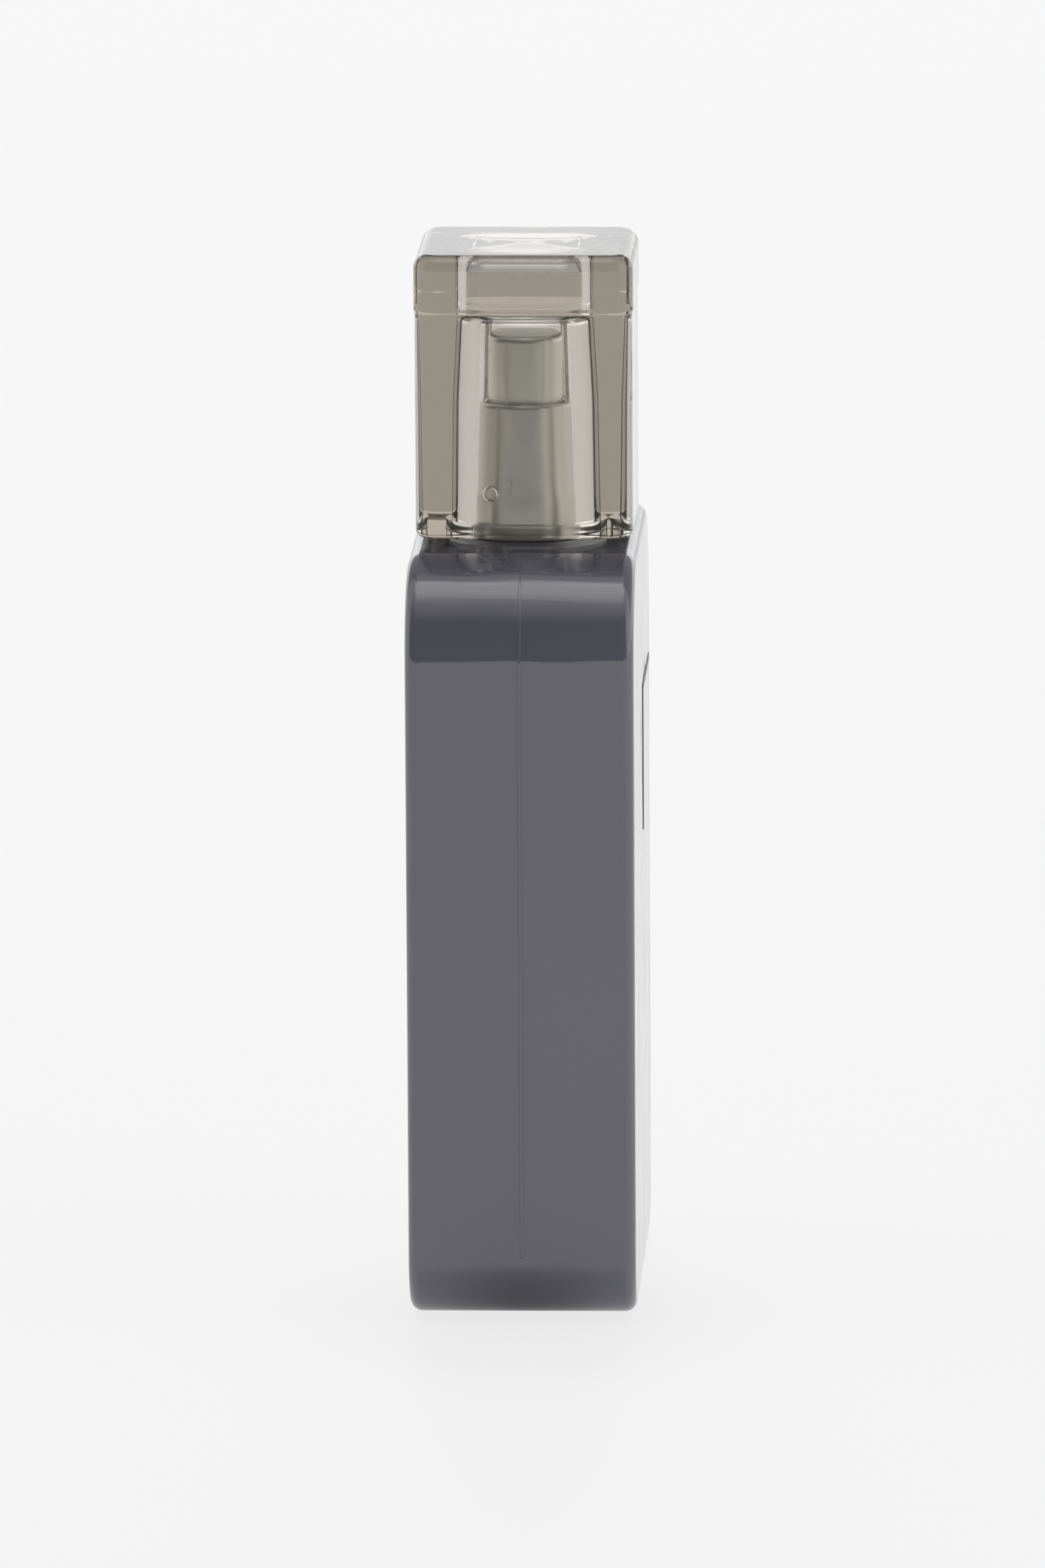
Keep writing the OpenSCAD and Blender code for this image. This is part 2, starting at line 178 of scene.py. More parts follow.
def add_floor():
    mesh = bpy.data.meshes.new("table_top")
    low, high = Vector((FLOOR_FRONT, -FLOOR_REACH)), Vector((FLOOR_REACH, FLOOR_REACH))
    corners = [(low.x, low.y, 0), (high.x, low.y, 0), (high.x, high.y, 0), (low.x, high.y, 0)]
    mesh.from_pydata(corners, [], [(0, 1, 2, 3)])
    floor = bpy.data.objects.new("table_top", mesh)
    bpy.context.scene.collection.objects.link(floor)
    mesh.materials.append(floor_material())


add_floor()
print("floor: the table starts", -FLOOR_FRONT, "m in front of the bottle")

# %% [markdown]
# ## Light
#
# Glossy glass shows whatever stands round it, so the soft surround has a shape. It is nearly even, and it
# is dim on the side that the camera looks from, most of all low down. The table ends about a metre in
# front of the bottle, so the foot of the shoulder's rounding reflects that dim front as a dark band. High
# up behind the bottle it is dimmer too, and it is a little brighter on the right. Mirror reflections also
# see a brighter light behind and straight overhead, which gives the shoulder its bright line. The camera
# itself sees a plain pale backdrop.

# %% Light
SURROUND, BACKDROP = 0.98, 0.93
BEHIND_GAIN, OVERHEAD_GAIN, RIGHT_GAIN = 0.45, 1.2, 0.4
FRONT_DIM, HIGH_BEHIND_DIM = 0.88, 0.68
FRONT_SKEW = 0.2


class Sky:
    """The world's node tree under construction, with short calls for its nodes."""

    def __init__(self, name):
        world = bpy.data.worlds.new(name)
        world.use_nodes = True
        bpy.context.scene.world = world
        self.nodes, self.links = world.node_tree.nodes, world.node_tree.links
        self.nodes.clear()

    def math(self, operation, *values):
        node = self.nodes.new("ShaderNodeMath")
        node.operation = operation
        for socket, value in zip(node.inputs, values):
            if isinstance(value, (int, float)):
                socket.default_value = value
            else:
                self.links.new(value, socket)
        return node.outputs[0]

    def smooth(self, value, start, end):
        """Rises softly from 0 to 1 as value goes from start to end."""
        node = self.nodes.new("ShaderNodeMapRange")
        node.interpolation_type = "SMOOTHSTEP"
        self.links.new(value, node.inputs["Value"])
        node.inputs["From Min"].default_value = start
        node.inputs["From Max"].default_value = end
        return node.outputs["Result"]

    def brighten(self, strength, where, gain):
        return self.math("ADD", strength, self.math("MULTIPLY", where, gain))

    def darken(self, strength, where, depth):
        left = self.math("SUBTRACT", 1.0, self.math("MULTIPLY", where, depth))
        return self.math("MULTIPLY", strength, left)

    def background(self, color, strength):
        node = self.nodes.new("ShaderNodeBackground")
        node.inputs["Color"].default_value = (color, color, color, 1)
        if isinstance(strength, (int, float)):
            node.inputs["Strength"].default_value = strength
        else:
            self.links.new(strength, node.inputs["Strength"])
        return node.outputs[0]


def light_strength(sky, mirror):
    """The surround's strength in every direction, where mirror is 1 for a reflected ray."""
    direction = sky.nodes.new("ShaderNodeTexCoord")
    parts = sky.nodes.new("ShaderNodeSeparateXYZ")
    sky.links.new(direction.outputs["Generated"], parts.inputs[0])
    height = parts.outputs["Z"]
    level = sky.math("SQRT", sky.math("SUBTRACT", 1.0, sky.math("MULTIPLY", height, height)))
    facing = sky.math("SUBTRACT", sky.math("MULTIPLY", parts.outputs["Y"], FRONT_SKEW), parts.outputs["X"])
    toward_front = sky.math("DIVIDE", facing, sky.math("MAXIMUM", level, 0.001))

    front = sky.math("MULTIPLY", sky.smooth(toward_front, 0.25, 0.65), sky.smooth(height, 1.0, 0.62))
    behind = sky.math("MULTIPLY", sky.smooth(toward_front, -0.2, -0.8), mirror)
    overhead = sky.math("MULTIPLY", sky.smooth(height, 0.90, 0.995), mirror)
    right = sky.smooth(parts.outputs["Y"], -0.55, -0.95)
    high_behind = sky.math("MULTIPLY", sky.smooth(toward_front, -0.2, -0.5), sky.smooth(height, 0.24, 0.32))
    high_behind = sky.math("MULTIPLY", high_behind, sky.smooth(height, 0.999, 0.985))

    strength = sky.math("ADD", sky.math("MULTIPLY", behind, BEHIND_GAIN), SURROUND)
    strength = sky.brighten(strength, overhead, OVERHEAD_GAIN)
    strength = sky.brighten(strength, right, RIGHT_GAIN)
    strength = sky.darken(strength, front, FRONT_DIM)
    return sky.darken(strength, high_behind, HIGH_BEHIND_DIM)


def add_world():
    sky = Sky("soft_studio")
    seen = sky.nodes.new("ShaderNodeLightPath")
    choose = sky.nodes.new("ShaderNodeMixShader")
    sky.links.new(seen.outputs["Is Camera Ray"], choose.inputs[0])
    sky.links.new(sky.background(1, light_strength(sky, seen.outputs["Is Glossy Ray"])), choose.inputs[1])
    sky.links.new(sky.background(BACKDROP, 1.0), choose.inputs[2])
    output = sky.nodes.new("ShaderNodeOutputWorld")
    sky.links.new(choose.outputs[0], output.inputs["Surface"])


add_world()
bpy.context.scene.view_settings.view_transform = "Standard"
bpy.context.scene.view_settings.look = "None"
print("light: soft white surround with a dim front")

# %% [markdown]
# ## Helpers for materials
#
# Every finish is built from shader nodes on the piece's own Object coordinates, so a pattern stays with
# its piece. A number that is the same all over a surface goes straight on the shader's socket.

# %% Material helpers
class Finish:
    """A material under construction, with short calls for the nodes that the finishes share."""

    def __init__(self, name):
        self.material = bpy.data.materials.new(name)
        self.material.use_nodes = True
        self.tree = self.material.node_tree
        self.shader = self.tree.nodes["Principled BSDF"]
        self.output = self.tree.nodes["Material Output"]

    def plain(self, **values):
        for name, value in values.items():
            self.shader.inputs[name.replace("_", " ")].default_value = value

    def node(self, kind, **settings):
        node = self.tree.nodes.new(kind)
        for name, value in settings.items():
            setattr(node, name, value)
        return node

    def link(self, source, target):
        self.tree.links.new(source, target)

    def place(self, scale):
        coordinates = self.node("ShaderNodeTexCoord")
        mapping = self.node("ShaderNodeMapping")
        mapping.inputs["Scale"].default_value = scale
        self.link(coordinates.outputs["Object"], mapping.inputs["Vector"])
        return mapping.outputs["Vector"]

    def noise(self, size, stretch=(1, 1, 1), detail=3.0):
        """Noise whose features are about size metres wide."""
        node = self.node("ShaderNodeTexNoise")
        self.link(self.place(stretch), node.inputs["Vector"])
        node.inputs["Scale"].default_value = 1.0 / size
        node.inputs["Detail"].default_value = detail
        return node.outputs["Fac"]

    def span(self, value, low, high):
        """Carries a noise value, which is mostly between 0.3 and 0.7, to the range low to high."""
        node = self.node("ShaderNodeMapRange")
        self.link(value, node.inputs["Value"])
        node.inputs["From Min"].default_value = 0.3
        node.inputs["From Max"].default_value = 0.7
        node.inputs["To Min"].default_value = low
        node.inputs["To Max"].default_value = high
        return node.outputs["Result"]

    def blend_colors(self, value, first, second):
        node = self.node("ShaderNodeMix", data_type="RGBA")
        self.link(value, node.inputs["Factor"])
        node.inputs["A"].default_value = (*first, 1)
        node.inputs["B"].default_value = (*second, 1)
        return node.outputs["Result"]

    def relief(self, value, height, under=None):
        """A bump whose full swing is height metres, on top of another one if given."""
        node = self.node("ShaderNodeBump")
        node.inputs["Strength"].default_value = 1.0
        node.inputs["Distance"].default_value = height
        self.link(value, node.inputs["Height"])
        if under is not None:
            self.link(under, node.inputs["Normal"])
        return node.outputs["Normal"]


FINISHES = {}
print("material helpers ready")

# %% [markdown]
# ## Lacquered glass
#
# The slab is clear glass sprayed with a dark blue-grey lacquer, so it looks solid. Light is reflected
# both by the polished face of the glass and by the lacquer, which makes the reflection stronger than on
# plain plastic. Pressed glass is never quite flat: a slow waviness, a few tenths of a millimetre over a
# centimetre or two, makes reflected edges ripple.

# %% Finish: lacquered glass
def lacquered_glass():
    finish = Finish("lacquered_glass")
    finish.plain(IOR=1.52, Specular_IOR_Level=0.9)
    tone = finish.noise(0.03, detail=2.0)
    color = finish.blend_colors(tone, (0.108, 0.109, 0.138), (0.122, 0.122, 0.154))
    finish.link(color, finish.shader.inputs["Base Color"])
    haze = finish.span(finish.noise(0.012, detail=4.0), 0.05, 0.09)
    finish.link(haze, finish.shader.inputs["Roughness"])
    slow = finish.relief(finish.noise(0.016, detail=1.0), 0.00030)
    fine = finish.relief(finish.noise(0.005, detail=2.0), 0.00002, under=slow)
    finish.link(fine, finish.shader.inputs["Normal"])
    return finish.material


FINISHES["lacquered_glass"] = lacquered_glass()
print("finish made:", FINISHES["lacquered_glass"].name)

# %% [markdown]
# ## Smoked cap plastic
#
# The cap is a solid moulding of clear plastic tinted a warm grey. The tint is in the depth of the plastic
# and not on its surface, so the material is clear glass with an absorbing volume: a ray that crosses the
# whole cap loses about three quarters of its light, and one that crosses a single wall about a fifth.

# %% Finish: smoked plastic
CAP_TINT = (0.42, 0.36, 0.26, 1)
CAP_TINT_DENSITY = 74.0


def smoked_plastic():
    finish = Finish("smoked_plastic")
    finish.plain(Base_Color=(1, 1, 1, 1), IOR=1.49, Transmission_Weight=1.0)
    haze = finish.span(finish.noise(0.006, detail=3.0), 0.0, 0.02)
    finish.link(haze, finish.shader.inputs["Roughness"])
    draw = finish.relief(finish.noise(0.009, stretch=(1, 1, 0.35), detail=1.0), 0.00004)
    finish.link(draw, finish.shader.inputs["Normal"])
    volume = finish.node("ShaderNodeVolumeAbsorption")
    volume.inputs["Color"].default_value = CAP_TINT
    volume.inputs["Density"].default_value = CAP_TINT_DENSITY
    finish.link(volume.outputs[0], finish.output.inputs["Volume"])
    return finish.material


FINISHES["smoked_cap"] = smoked_plastic()
print("finish made:", FINISHES["smoked_cap"].name)

# %% [markdown]
# ## Metals
#
# The collar and the spray head are spun aluminium with a satin anodised coat. Spinning leaves very fine
# rings, so the noise that breaks up the gloss is stretched round the piece: it changes quickly with
# height and slowly round.

# %% Finishes: metals
def satin_metal():
    finish = Finish("satin_metal")
    finish.plain(Metallic=1.0)
    rings = finish.noise(0.004, stretch=(0.3, 0.3, 30), detail=3.0)
    tone = finish.blend_colors(rings, (0.72, 0.72, 0.655), (0.76, 0.76, 0.69))
    finish.link(tone, finish.shader.inputs["Base Color"])
    finish.link(finish.span(rings, 0.33, 0.39), finish.shader.inputs["Roughness"])
    finish.link(finish.relief(rings, 0.0000006), finish.shader.inputs["Normal"])
    return finish.material


def bright_metal(name, tone, roughness, grain):
    finish = Finish(name)
    finish.plain(Metallic=1.0)
    marks = finish.noise(grain, detail=4.0)
    color = finish.blend_colors(marks, tuple(0.92 * part for part in tone), tone)
    finish.link(color, finish.shader.inputs["Base Color"])
    finish.link(finish.span(marks, 0.8 * roughness, 1.3 * roughness), finish.shader.inputs["Roughness"])
    finish.link(finish.relief(marks, 0.000003), finish.shader.inputs["Normal"])
    return finish.material


FINISHES["satin_metal"] = satin_metal()
FINISHES["ferrule_aluminium"] = bright_metal("ferrule_aluminium", (0.80, 0.80, 0.79), 0.22, 0.0015)
FINISHES["ball_steel"] = bright_metal("ball_steel", (0.74, 0.74, 0.75), 0.06, 0.0004)
FINISHES["spring_steel"] = bright_metal("spring_steel", (0.60, 0.60, 0.61), 0.20, 0.0003)
print("finishes so far:", ", ".join(FINISHES))

# %% [markdown]
# ## Plastics, seals, ink and label
#
# The pump's own parts are natural moulded plastic, which is never one even tone: the flow of the melt and
# the texture of the mould leave slow clouds and a fine grain. One function makes them all, with its own
# grain size.

# %% Finishes: plastics and others
def moulded(name, tone, roughness, grain=0.0006, clouds=0.006, bump=0.000006, transmission=0.0):
    finish = Finish(name)
    finish.plain(IOR=1.5, Transmission_Weight=transmission)
    cloud = finish.noise(clouds, detail=2.0)
    color = finish.blend_colors(cloud, tuple(0.94 * part for part in tone), tone)
    finish.link(color, finish.shader.inputs["Base Color"])
    texture = finish.noise(grain, detail=3.0)
    finish.link(finish.span(texture, 0.85 * roughness, 1.15 * roughness), finish.shader.inputs["Roughness"])
    finish.link(finish.relief(texture, bump), finish.shader.inputs["Normal"])
    return finish.material


def clear_liquid():
    finish = Finish("aftershave")
    finish.plain(Base_Color=(0.93, 0.97, 1.0, 1), IOR=1.36, Transmission_Weight=1.0, Roughness=0.0)
    return finish.material


FINISHES.update({
    "pump_plastic": moulded("pump_plastic", (0.80, 0.80, 0.78), 0.32),
    "piston_plastic": moulded("piston_plastic", (0.86, 0.86, 0.86), 0.45),
    "insert_plastic": moulded("insert_plastic", (0.045, 0.045, 0.05), 0.30),
    "clear_tube": moulded("clear_tube", (0.90, 0.93, 0.95), 0.15, transmission=0.6),
    "seal_rubber": moulded("seal_rubber", (0.10, 0.10, 0.10), 0.70, grain=0.0003),
    "print_ink": moulded("print_ink", (0.030, 0.031, 0.036), 0.38, grain=0.0002, clouds=0.002),
    "label_film": moulded("label_film", (0.83, 0.83, 0.81), 0.50, grain=0.0003, clouds=0.004),
    "liquid": clear_liquid(),
})
print(len(FINISHES), "finishes made")

# %% [markdown]
# ## Finishing a piece
#
# A visible piece replaces the CAD node of the same place: it rides on that node's body, takes its finish
# from the record's slot, and hides the node. The other CAD nodes keep their own meshes and only get a
# finish.

# %% Helpers for pieces
NODE_BODY = {node: body for body, nodes in frame["record"]["behaviour"]["bodies"].items() for node in nodes}
NODE_SLOT = {part["node"]: part["material_slot"] for part in frame["record"]["subparts"]}
REPLACED = set()


def finish_piece(piece, node):
    """Makes piece stand for the CAD node: same body, same slot, its finish on every face."""
    slot = NODE_SLOT[node]
    piece.data.materials.clear()
    piece.data.materials.append(FINISHES[slot])
    for face in piece.data.polygons:
        face.material_index = 0
    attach(piece, NODE_BODY[node])
    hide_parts(node)
    REPLACED.add(node)
    print(f"{piece.name}: {len(piece.data.polygons)} faces, stands for {node}")
    return piece


def new_piece(name, mesh):
    piece = bpy.data.objects.new(name, mesh)
    bpy.context.scene.collection.objects.link(piece)
    return piece


def settle(piece, sharp_angle=35.0):
    """Smooths the shading but keeps flats flat, and leaves a plain mesh with no modifier."""
    for face in piece.data.polygons:
        face.use_smooth = True
    piece.data.set_sharp_from_angle(angle=math.radians(sharp_angle))
    weigh = piece.modifiers.new("flat faces lead", "WEIGHTED_NORMAL")
    weigh.mode = "FACE_AREA"
    weigh.weight = 100
    weigh.keep_sharp = True
    return apply_modifiers(piece)


def apply_modifiers(piece):
    bpy.context.view_layer.update()
    graph = bpy.context.evaluated_depsgraph_get()
    mesh = bpy.data.meshes.new_from_object(piece.evaluated_get(graph), depsgraph=graph)
    mesh.name = piece.name
    piece.modifiers.clear()
    piece.data = mesh
    return piece


def arc(x, z, radius, start, end, steps):
    """Points on an arc in the (radius, height) plane, angles in degrees."""
    angles = [math.radians(start + (end - start) * i / steps) for i in range(steps + 1)]
    return [(x + radius * math.cos(a), z + radius * math.sin(a)) for a in angles]


def loft(name, rings):
    """Joins closed rings of equal length with quads, and closes both ends with a fan."""
    count = len(rings[0])
    points = [point for ring in rings for point in ring]
    faces = []
    for r in range(len(rings) - 1):
        for i in range(count):
            j = (i + 1) % count
            faces.append((r * count + i, r * count + j, (r + 1) * count + j, (r + 1) * count + i))
    for start, flip in ((0, True), ((len(rings) - 1) * count, False)):
        middle = sum((Vector(p) for p in points[start:start + count]), Vector()) / count
        points.append(tuple(middle))
        hub = len(points) - 1
        for i in range(count):
            a, b = start + i, start + (i + 1) % count
            faces.append((b, a, hub) if flip else (a, b, hub))
    mesh = bpy.data.meshes.new(name)
    mesh.from_pydata(points, [], faces)
    return clean(mesh)


def clean(mesh):
    """Merges doubles and points every face outwards."""
    work = bmesh.new()
    work.from_mesh(mesh)
    bmesh.ops.remove_doubles(work, verts=work.verts, dist=1e-7)
    bmesh.ops.dissolve_degenerate(work, edges=work.edges, dist=1e-7)
    bmesh.ops.recalc_face_normals(work, faces=work.faces)
    if work.calc_volume(signed=True) < 0:
        bmesh.ops.reverse_faces(work, faces=work.faces)
    work.to_mesh(mesh)
    work.free()
    return mesh


def turned(name, outline, segments=128):
    """A closed outline of (radius, height) points turned about the pump's axis, as a ring or a solid."""
    turns = [2 * math.pi * i / segments for i in range(segments)]
    points = [(r * math.cos(a), r * math.sin(a), z) for a in turns for r, z in outline]
    count = len(outline)
    faces = []
    for s in range(segments):
        t = (s + 1) % segments
        for i in range(count):
            j = (i + 1) % count
            faces.append((s * count + i, t * count + i, t * count + j, s * count + j))
    mesh = bpy.data.meshes.new(name)
    mesh.from_pydata(points, [], faces)
    return clean(mesh)


print("piece helpers ready")

# %% [markdown]
# ## The glass slab
#
# The slab follows one rule: an upright outline with large corners, and the same small rounding run all
# the way round it, front and back. Geometry Nodes says exactly that. The outline is a rectangle whose
# corners are filleted, with a larger radius at the shoulder than at the heel; a C-shaped profile is swept
# round it; and two flat faces close it. The tree has named inputs, so the same tree makes the hollow
# inside the bottle.

# %% Node tree: rounded slab
class Tree:
    """A Geometry Nodes tree under construction, with short calls for its nodes."""

    def __init__(self, name, floats=(), integers=()):
        self.tree = bpy.data.node_groups.new(name, "GeometryNodeTree")
        face = self.tree.interface
        for label in floats:
            face.new_socket(label, in_out="INPUT", socket_type="NodeSocketFloat")
        for label in integers:
            face.new_socket(label, in_out="INPUT", socket_type="NodeSocketInt")
        face.new_socket("Finish", in_out="INPUT", socket_type="NodeSocketMaterial")
        face.new_socket("Geometry", in_out="OUTPUT", socket_type="NodeSocketGeometry")
        self.given = self.add("NodeGroupInput").outputs

    def add(self, kind, links=None, **settings):
        node = self.tree.nodes.new(kind)
        for name, value in settings.items():
            setattr(node, name, value)
        for name, value in (links or {}).items():
            self.feed(value, node.inputs[name])
        return node

    def feed(self, value, socket):
        if isinstance(value, (int, float, tuple)):
            socket.default_value = value
        else:
            self.tree.links.new(value, socket)

    def calc(self, operation, *values):
        node = self.add("ShaderNodeMath", operation=operation)
        for value, socket in zip(values, node.inputs):
            self.feed(value, socket)
        return node.outputs[0]

    def vector(self, x, y, z):
        return self.add("ShaderNodeCombineXYZ", {"X": x, "Y": y, "Z": z}).outputs[0]

    def end(self, geometry):
        """Every tree ends the same way: real geometry, with its finish set."""
        real = self.add("GeometryNodeRealizeInstances", {"Geometry": geometry})
        painted = self.add("GeometryNodeSetMaterial", {
            "Geometry": real.outputs[0], "Material": self.given["Finish"],
        })
        self.tree.links.new(painted.outputs[0], self.add("NodeGroupOutput").inputs[0])
        return self.tree


def grow(name, tree, values):
    """Runs a tree on an empty mesh and keeps the result as a plain mesh object."""
    piece = new_piece(name, bpy.data.meshes.new(name))
    modifier = piece.modifiers.new(tree.name, "NODES")
    modifier.node_group = tree
    sockets = {item.name: item.identifier for item in tree.interface.items_tree if item.in_out == "INPUT"}
    for label, value in values.items():
        modifier[sockets[label]] = value
    apply_modifiers(piece)
    clean(piece.data)
    return piece


def slab_tree():
    t = Tree(
        "rounded slab",
        floats=("Width", "Depth", "Low", "High", "Shoulder radius", "Heel radius", "Edge radius"),
        integers=("Corner steps", "Edge steps"),
    )
    given = t.given
    edge, steps = given["Edge radius"], given["Edge steps"]

    # the outline, laid flat and drawn in from the true edge by the edge radius
    height = t.calc("SUBTRACT", given["High"], given["Low"])
    inset = t.calc("MULTIPLY", edge, 2.0)
    outline = t.add("GeometryNodeCurvePrimitiveQuadrilateral", {
        "Width": t.calc("SUBTRACT", given["Width"], inset), "Height": t.calc("SUBTRACT", height, inset),
    }, mode="RECTANGLE")
    along = t.add("ShaderNodeSeparateXYZ", {"Vector": t.add("GeometryNodeInputPosition").outputs[0]})
    at_shoulder = t.add("GeometryNodeSwitch", {
        "Switch": t.calc("GREATER_THAN", along.outputs["Y"], 0.0),
        "False": t.calc("SUBTRACT", given["Heel radius"], edge),
        "True": t.calc("SUBTRACT", given["Shoulder radius"], edge),
    }, input_type="FLOAT")
    rounded = t.add("GeometryNodeFilletCurve", {
        "Curve": outline.outputs[0], "Radius": at_shoulder.outputs[0], "Count": given["Corner steps"],
    }, mode="POLY")
    level = t.add("GeometryNodeSetCurveNormal", {"Curve": rounded.outputs[0]}, mode="Z_UP")

    # the edge profile: one quarter arc, the thickness of the slab, and another quarter arc
    count = t.calc("MULTIPLY", t.calc("ADD", steps, 1.0), 2.0)
    line = t.add("GeometryNodeCurvePrimitiveLine", {"Start": (0.0, 0.0, 0.0), "End": (1.0, 0.0, 0.0)})
    points = t.add("GeometryNodeResampleCurve", {"Curve": line.outputs[0], "Count": count})
    index = t.add("GeometryNodeInputIndex").outputs[0]
    second = t.calc("GREATER_THAN", index, t.calc("ADD", steps, 0.5))
    step = t.calc("SUBTRACT", index, t.calc("MULTIPLY", second, t.calc("ADD", steps, 1.0)))
    quarter = t.calc("MULTIPLY", t.calc("DIVIDE", step, steps), math.pi / 2)
    angle = t.calc("ADD", quarter, t.calc("MULTIPLY", t.calc("SUBTRACT", second, 1.0), math.pi / 2))
    side = t.calc("SUBTRACT", t.calc("MULTIPLY", second, 2.0), 1.0)
    arc_middle = t.calc("MULTIPLY", side, t.calc("SUBTRACT", t.calc("MULTIPLY", given["Depth"], 0.5), edge))
    profile = t.add("GeometryNodeSetPosition", {
        "Geometry": points.outputs[0],
        "Position": t.vector(
            t.calc("MULTIPLY", edge, t.calc("COSINE", angle)),
            t.calc("ADD", arc_middle, t.calc("MULTIPLY", edge, t.calc("SINE", angle))),
            0.0,
        ),
    })
    sweep = t.add("GeometryNodeCurveToMesh", {"Curve": level.outputs[0], "Profile Curve": profile.outputs[0]})

    # the two broad faces close the swept edge
    face = t.add("GeometryNodeFillCurve", {"Curve": level.outputs[0]}, mode="NGONS")
    both = t.add("GeometryNodeJoinGeometry")
    t.feed(sweep.outputs[0], both.inputs[0])
    for sign in (0.5, -0.5):
        moved = t.add("GeometryNodeTransform", {
            "Geometry": face.outputs[0],
            "Translation": t.vector(0.0, 0.0, t.calc("MULTIPLY", given["Depth"], sign)),
        })
        t.feed(moved.outputs[0], both.inputs[0])
    closed = t.add("GeometryNodeMergeByDistance", {"Geometry": both.outputs[0], "Distance": 1e-6})

    # stand it up, and lift it to its height
    middle = t.calc("MULTIPLY", t.calc("ADD", given["Low"], given["High"]), 0.5)
    upright = t.add("GeometryNodeTransform", {
        "Geometry": closed.outputs[0], "Rotation": (math.pi / 2, 0.0, 0.0),
        "Translation": t.vector(0.0, 0.0, middle),
    })
    return t.end(upright.outputs[0])


SLAB = slab_tree()
print("slab tree:", len(SLAB.nodes), "nodes")

# %% [markdown]
# ## The whole bottle
#
# The real bottle is blown in a two-part mould: a thick slab with a hollow, a neck with a bead for the
# crimp, a shallow recess underneath and a fine seam where the mould parts meet. The slab tree makes the
# outside, the hollow and the seam; the neck is a turned outline; and exact booleans join and cut them.
# Booleans suit this piece because every part that meets is closed and simple.

# %% Piece: bottle
WALL = 2.6 * MM
BASE_THICKNESS = 6.5 * MM
SHOULDER_RADIUS, HEEL_RADIUS, EDGE_RADIUS = 12 * MM, 8 * MM, 1.5 * MM
NECK_RADIUS, BEAD_RADIUS, NECK_BORE = 6.6 * MM, 7.5 * MM, 5.0 * MM
BEAD_HEIGHT = 3.2 * MM
HOLLOW_HEEL_RADIUS = 5 * MM
RECESS_WIDTH, RECESS_DEPTH, RECESS_HEIGHT, RECESS_CORNER = 42 * MM, 15 * MM, 0.8 * MM, 4 * MM
SEAM_WIDTH = 4 * SEAM_HEIGHT


def slab(name, width, depth, low, high, shoulder, heel, edge, corner_steps=24, edge_steps=8):
    return grow(name, SLAB, {
        "Width": width, "Depth": depth, "Low": low, "High": high, "Shoulder radius": shoulder,
        "Heel radius": heel, "Edge radius": edge, "Corner steps": corner_steps, "Edge steps": edge_steps,
        "Finish": FINISHES["lacquered_glass"],
    })


def combine(piece, other, operation):
    """Joins or cuts piece with another closed mesh, which is then thrown away."""
    boolean = piece.modifiers.new(operation.lower(), "BOOLEAN")
    boolean.operation = operation
    boolean.solver = "EXACT"
    boolean.object = other
    apply_modifiers(piece)
    bpy.data.objects.remove(other)
    return piece


def neck():
    top = glass_high.z
    bead = top - BEAD_HEIGHT
    hole, lip, buried, undercut = 1.0 * MM, 0.6 * MM, 1.0 * MM, 0.3 * MM
    outline = [(hole, SHOULDER - buried), (NECK_RADIUS, SHOULDER - buried), (NECK_RADIUS, bead - undercut)]
    outline += [(NECK_RADIUS + undercut, bead), (BEAD_RADIUS, bead)]
    outline += arc(BEAD_RADIUS - lip, top - lip, lip, 0, 90, 6) + [(hole, top)]
    return new_piece("neck", turned("neck", outline, 96))


def bore():
    hole, low, high = 0.4 * MM, SHOULDER - 2 * WALL, glass_high.z + 1 * MM
    outline = [(hole, low), (NECK_BORE, low), (NECK_BORE, high), (hole, high)]
    return new_piece("bore", turned("bore", outline, 96))


def rounded_plate(name, width, depth, low, high, corner, steps=8):
    """A flat plate with round corners, such as a recess or a label."""
    points = []
    for turn, (sx, sy) in enumerate(((1, 1), (-1, 1), (-1, -1), (1, -1))):
        x, y = sx * (width / 2 - corner), sy * (depth / 2 - corner)
        points += arc(x, y, corner, 90 * turn, 90 * turn + 90, steps)
    return new_piece(name, loft(name, [[(x, y, z) for x, y in points] for z in (low, high)]))


def build_bottle():
    bottle = slab("bottle", BODY_WIDTH, BODY_DEPTH, 0.0, SHOULDER, SHOULDER_RADIUS, HEEL_RADIUS, EDGE_RADIUS)
    seam = slab(
        "seam", BODY_WIDTH + 2 * SEAM_HEIGHT, SEAM_WIDTH, HEEL_RADIUS, SHOULDER,
        SHOULDER_RADIUS + SEAM_HEIGHT, SEAM_WIDTH, SEAM_HEIGHT, edge_steps=3,
    )
    combine(bottle, seam, "UNION")
    combine(bottle, neck(), "UNION")
    hollow = slab(
        "hollow", BODY_WIDTH - 2 * WALL, BODY_DEPTH - 2 * WALL, BASE_THICKNESS, SHOULDER - WALL,
        SHOULDER_RADIUS - WALL, HOLLOW_HEEL_RADIUS, EDGE_RADIUS, corner_steps=12, edge_steps=5,
    )
    combine(bottle, hollow, "DIFFERENCE")
    combine(bottle, bore(), "DIFFERENCE")
    recess = rounded_plate("recess", RECESS_WIDTH, RECESS_DEPTH, -1 * MM, RECESS_HEIGHT, RECESS_CORNER)
    combine(bottle, recess, "DIFFERENCE")
    return finish_piece(settle(bottle), "bottle_glass")


build_bottle()

